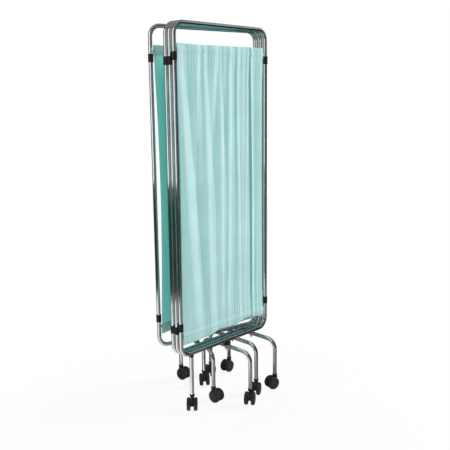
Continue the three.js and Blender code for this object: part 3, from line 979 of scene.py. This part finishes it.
class WARDSCREEN_OT_curtains(bpy.types.Operator):
    """Add the four curtains, gathered on their rods"""

    bl_idname = "wardscreen.curtains"
    bl_label = "Gathered curtains"

    def execute(self, context):
        for number in PANELS:
            grid = curtain_grid(number)
            points, faces = grid.reshape(-1, 3), sheet_faces(*grid.shape[:2])
            name = f"gathered_curtain_{number}"
            piece = add_piece(name, points, faces, "curtain_fabric", f"panel_{number}",
                              f"curtain_{number}", panel_place(number))
            piece.data.set_sharp_from_angle(angle=math.pi)
            add_flat_coordinates(piece.data, grid)
            add_flanks(piece.data, grid)
            flat_size(grid)
        return {"FINISHED"}


# Castors
# The plate between the wheels: its half width under the neck, its top below the tube, its rim
# inside the tread, its gap to each wheel, its softened edges and the radius of its boss
PLATE_HALF = 0.0105
PLATE_DROP = 0.0082
PLATE_INSET = 0.0022
PLATE_GAP = 0.0013
PLATE_EDGE = 0.0008
BOSS_RADIUS = 0.012
AXLE_RADIUS = 0.003
AXLE_REACH = 0.004
# Outlines of neck and wheel in tenths of a millimetre, radius and height
TENTHS = 10000
COLLAR = ((98, 0), (108, 30), (116, 62), (120, 85))
STEM = ((120, -22), (117, -12), (108, -3), (82, -3), (54, -2), (54, 200))
BACK = ((34, 6), (90, 0))
INNER_TREAD = ((-40, 0), (-18, 7), (-6, 20), (-1, 45), (0, 80))
OUTER_TREAD = ((-3, -62), (-12, -36), (-28, -18), (-46, -10), (-62, -10), (-69, -18),
               (-76, -20), (-98, -12), (-150, -4))
HUB = ((85, -1), (72, -6), (66, -4), (50, 0), (26, 4), (4, 5))


def castor_axes(name):
    """Place of a castor, its X along the trail, with its trail and its axle's height."""
    swivel, axle = joint_place(f"swivel_{name}"), joint_place(f"spin_{name}")
    trail = axle - swivel
    place = shifted(swivel.x, swivel.y) @ spun(math.atan2(trail.y, trail.x))
    return place, trail.xy.length, axle.z


def web_outline(trail, axle):
    """Side outline of the plate between the wheels, X along the trail."""
    half, top = PLATE_HALF, FOOT_END - PLATE_DROP
    web = sizes().wheel_radius - PLATE_INSET
    rim = math.pi - math.acos((trail - half) / web)
    outline = [(half, top), (-half, top), (-half, axle + 0.016), (-half + 0.0015, axle + 0.009)]
    arcs = ((BOSS_RADIUS, math.radians(205), math.radians(130), 24), (web, 0.0, rim, 32))
    for radius, start, sweep, steps in arcs:
        for i in range(steps + 1):
            x, z = on_circle(radius, start + sweep * i / steps)
            outline.append((trail + x, axle + z))
    return outline


def slab(outline, half):
    """Outline in X and Z thickened to both sides along Y."""
    count = len(outline)
    points = [(x, -half, z) for x, z in outline] + [(x, half, z) for x, z in outline]
    return points, band(0, count, count) + end_caps(count, count)


def profile_of(*parts):
    """One profile from tables, each with the radius and the height that it starts from."""
    return [(radius + a / TENTHS, height + b / TENTHS)
            for radius, height, table in parts for a, b in table]


def neck_shape():
    """Collar below the tube's end, with the stem that goes up into it."""
    return turned(profile_of((0, FOOT_END - 0.014, COLLAR), (0, FOOT_END, STEM)), 40)


def wheel_profile(inner):
    """Outer half of a wheel as (radius, distance from the castor's middle)."""
    radius, outer = sizes().wheel_radius, inner + sizes().wheel_width
    return profile_of((0, inner, BACK), (radius, inner, INNER_TREAD),
                      (radius, outer, OUTER_TREAD), (0, outer, HUB))


class WARDSCREEN_OT_castors(bpy.types.Operator):
    """Add the nine castors: bodies and wheel pairs"""

    bl_idname = "wardscreen.castors"
    bl_label = "Twin-wheel castors"

    def execute(self, context):
        for name in CASTORS:
            place, trail, axle = castor_axes(name)
            self.add_body(name, place, trail, axle)
            self.add_wheels(name, place @ shifted(trail, 0, axle))
        return {"FINISHED"}

    def add_body(self, name, place, trail, axle):
        half = sizes().wheel_gap / 2 - PLATE_GAP
        shape = joined(slab(web_outline(trail, axle), half), neck_shape())
        add_piece(f"castor_body_{name}", *shape, "castor_plastic", f"castor_{name}",
                  f"castor_{name}_body", place, bevel=PLATE_EDGE)

    def add_wheels(self, name, place):
        tip, inner = spun(-math.pi / 2, "X"), sizes().wheel_gap / 2
        right = moved(turned(wheel_profile(inner), 56), tip)
        left = moved(right, spun(math.pi))
        reach = inner + AXLE_REACH
        axle = moved(turned([(AXLE_RADIUS, -reach), (AXLE_RADIUS, reach)], 20), tip)
        add_piece(f"castor_wheels_{name}", *joined(right, left, axle), "wheel_plastic",
                  f"wheels_{name}", f"castor_{name}_wheels", place)


# Stage: floor, lamps, reflections and camera
# Name, place, target, width and height, and power of each lamp
LAMPS = (
    ("key_softbox", (9.0, -5.0, 5.1), (0, 0, 0.95), (2.0, 4.0), 1590),
    ("fill_softbox", (-2.2, -3.4, 2.4), (0, 0, 0.9), (1.6, 2.0), 26),
    ("rear_softbox", (0.5, 3.2, 2.8), (0, 0, 0.9), (1.6, 1.6), 74),
)
# Azimuth, distance, width, lower and upper edge, and brightness of each standing card
CARD_TOP = 3.2
STANDING_CARDS = (
    (-42.5, 1.9, 1.65, 0.0, 0.7, 0.035),
    (-42.5, 1.9, 1.65, 0.7, CARD_TOP, 0.09),
    (10, 1.9, 1.9, 0.0, CARD_TOP, 0.045),
    (68, 1.8, 2.2, 0.0, 1.7, 0.010),
    (68, 1.8, 2.2, 1.7, CARD_TOP, 0.33),
    (128, 1.8, 2.0, 0.0, 1.7, 0.020),
    (128, 1.8, 2.0, 1.7, CARD_TOP, 0.33),
    (186, 1.8, 1.7, 0.0, CARD_TOP, 0.08),
    (-135, 1.9, 1.31, 0.0, 0.7, 0.05),
    (-135, 1.9, 1.31, 0.7, CARD_TOP, 0.11),
    (-91, 1.35, 1.3, 0.15, 0.91, 0.03),
)
# Half width and brightness of the card overhead
LID_CARD = (1.9, 0.22)
# First and last azimuth and brightness of each card on the floor, and how far they reach
FLOOR_CARDS = ((-66, 20, 0.25), (20, 150, 0.06), (150, 244, 0.2))
FLOOR_REACH = 2.2
FLOOR_HALF = 14.0
WORLD_LEVEL = 0.19
# The camera's place from the front panel's left upright, its turn, tilt and lean, and its lens
CAMERA_PLACE = (-1.874, -2.112, 1.418)
CAMERA_ANGLES = (-45.7, 90 - 10.88, -0.63)
CAMERA_LENS = 52.8


def lamp(name, place, target, size, watts):
    light = bpy.data.lights.new(name, "AREA")
    light.shape = "RECTANGLE"
    light.size, light.size_y = size
    light.energy = watts
    softbox = new_object(name, light)
    softbox.location = place
    softbox.visible_glossy = False
    aim = Vector(target) - Vector(place)
    softbox.rotation_euler = aim.to_track_quat("-Z", "Y").to_euler()


def shown_ray(tree):
    """1 for rays that should see the plain background: camera, mirror and glass."""
    path = tree.nodes.new("ShaderNodeLightPath")
    shown = path.outputs["Is Camera Ray"]
    for kind in ("Is Glossy Ray", "Is Transmission Ray"):
        either = tree.nodes.new("ShaderNodeMath")
        either.operation = "MAXIMUM"
        tree.links.new(shown, either.inputs[0])
        tree.links.new(path.outputs[kind], either.inputs[1])
        shown = either.outputs[0]
    return shown


def floor_finish():
    """Pale studio floor: keeps a soft shadow near the screen, plain white further off."""
    finish = Finish("pale_floor")
    finish.set(Base_Color=(0.86, 0.86, 0.86, 1), Roughness=0.9)
    glow = finish.add("Emission", Color=(1, 1, 1, 1), Strength=1.0)
    far = finish.add("VectorMath", operation="LENGTH")
    finish.link(finish.place(), far.inputs[0])
    fade = finish.add("MapRange", From_Min=0.3, From_Max=1.3, To_Min=0.9)
    finish.link(far.outputs["Value"], fade.inputs["Value"])
    share = finish.add("Math", operation="MULTIPLY")
    finish.link(shown_ray(finish.material.node_tree), share.inputs[0])
    finish.link(fade.outputs[0], share.inputs[1])
    finish.blend(glow, share.outputs[0])
    return finish.material


def card_finish(grey):
    """Even grey that only mirrors see, so that the chrome has something dark to show."""
    finish = Finish("grey_card")
    finish.set(Base_Color=(0, 0, 0, 1), Roughness=1.0, Specular_IOR_Level=0.0,
               Emission_Color=(grey, grey * 1.01, grey * 1.02, 1), Emission_Strength=1.0)
    return finish.material


def stage_sheet(name, points, material):
    """One flat face of the stage."""
    sheet = new_object(name, new_mesh(name, points, [range(len(points))], material))
    return sheet


def add_card(number, points, grey):
    card = stage_sheet(f"grey_card_{number}", points, card_finish(grey))
    for ray in ("camera", "diffuse", "shadow", "transmission", "volume_scatter"):
        setattr(card, f"visible_{ray}", False)


def standing_card(azimuth, distance, width, low, high):
    """Corners of an upright card facing the screen from an azimuth, 0 being the front."""
    turn = math.radians(azimuth)
    place = Vector((math.sin(turn), -math.cos(turn), 0)) * distance
    side = Vector((math.cos(turn), math.sin(turn), 0)) * (width / 2)
    return [place - side + Z * low, place + side + Z * low,
            place + side + Z * high, place - side + Z * high]


def floor_card(start, end, steps=8):
    """Corners of a wedge on the floor between two azimuths."""
    turns = [math.radians(start + (end - start) * k / steps) for k in range(steps + 1)]
    rim = [Vector((math.sin(t), -math.cos(t), 0)) * FLOOR_REACH for t in turns]
    return [Vector((0, 0, 0))] + rim


def world_light():
    """Even light all round, dimmer than the white that is shown."""
    world = bpy.data.worlds.new("studio")
    world.use_nodes = True
    bpy.context.scene.world = world
    tree = world.node_tree
    back = tree.nodes["Background"]
    back.inputs["Color"].default_value = (1, 1, 1, 1)
    level = tree.nodes.new("ShaderNodeMapRange")
    level.inputs["To Min"].default_value = WORLD_LEVEL
    tree.links.new(shown_ray(tree), level.inputs["Value"])
    tree.links.new(level.outputs[0], back.inputs["Strength"])


def add_camera():
    """Camera at the photograph's place, aim and lens."""
    camera = bpy.data.cameras.new("viewpoint")
    camera.lens = CAMERA_LENS
    viewpoint = new_object("viewpoint", camera)
    viewpoint.location = panel_place(1).translation + Vector(CAMERA_PLACE)
    turn, tilt, lean = (math.radians(angle) for angle in CAMERA_ANGLES)
    viewpoint.rotation_euler = (spun(turn) @ spun(tilt, "X") @ spun(lean)).to_euler()
    bpy.context.scene.camera = viewpoint


class WARDSCREEN_OT_stage(bpy.types.Operator):
    """Add the floor, the studio light and the camera"""

    bl_idname = "wardscreen.stage"
    bl_label = "Stage and camera"

    def execute(self, context):
        bpy.context.scene.view_settings.view_transform = "Standard"
        corners = [(x * FLOOR_HALF, y * FLOOR_HALF, 0) for x, y in SQUARE]
        floor = stage_sheet("studio_floor", corners, floor_finish())
        floor.location.z = -0.0002
        for settings in LAMPS:
            lamp(*settings)
        self.add_cards()
        world_light()
        add_camera()
        return {"FINISHED"}

    def add_cards(self):
        half, grey = LID_CARD
        cards = [(standing_card(*card), grey) for *card, grey in STANDING_CARDS]
        cards.append(([(x * half, y * half, CARD_TOP) for x, y in SQUARE], grey))
        cards += [(floor_card(start, end), grey) for start, end, grey in FLOOR_CARDS]
        for k, (points, grey) in enumerate(cards):
            add_card(k + 1, points, grey)


STEPS = (
    WARDSCREEN_OT_frames,
    WARDSCREEN_OT_feet,
    WARDSCREEN_OT_rods,
    WARDSCREEN_OT_clips,
    WARDSCREEN_OT_saddles,
    WARDSCREEN_OT_curtains,
    WARDSCREEN_OT_castors,
    WARDSCREEN_OT_stage,
)


class WARDSCREEN_PT_panel(bpy.types.Panel):
    """Sidebar panel with the sizes, the colours and each step"""

    bl_idname = "WARDSCREEN_PT_panel"
    bl_label = "Ward screen"
    bl_space_type = "VIEW_3D"
    bl_region_type = "UI"
    bl_category = "Ward Screen"

    def draw(self, context):
        for group in (context.scene.ward_screen_sizes, context.scene.ward_screen_colours):
            box = self.layout.box()
            for name in group.__annotations__:
                box.prop(group, name)
        for step in STEPS:
            self.layout.operator(step.bl_idname)


CLASSES = (WardScreenSizes, WardScreenColours, *STEPS, WARDSCREEN_PT_panel)


def register():
    for cls in CLASSES:
        bpy.utils.register_class(cls)
    bpy.types.Scene.ward_screen_sizes = PointerProperty(type=WardScreenSizes)
    bpy.types.Scene.ward_screen_colours = PointerProperty(type=WardScreenColours)


def unregister():
    del bpy.types.Scene.ward_screen_colours
    del bpy.types.Scene.ward_screen_sizes
    for cls in reversed(CLASSES):
        bpy.utils.unregister_class(cls)


def main():
    register()
    for step in STEPS:
        group, name = step.bl_idname.split(".")
        getattr(getattr(bpy.ops, group), name)()


if __name__ == "__main__":
    main()
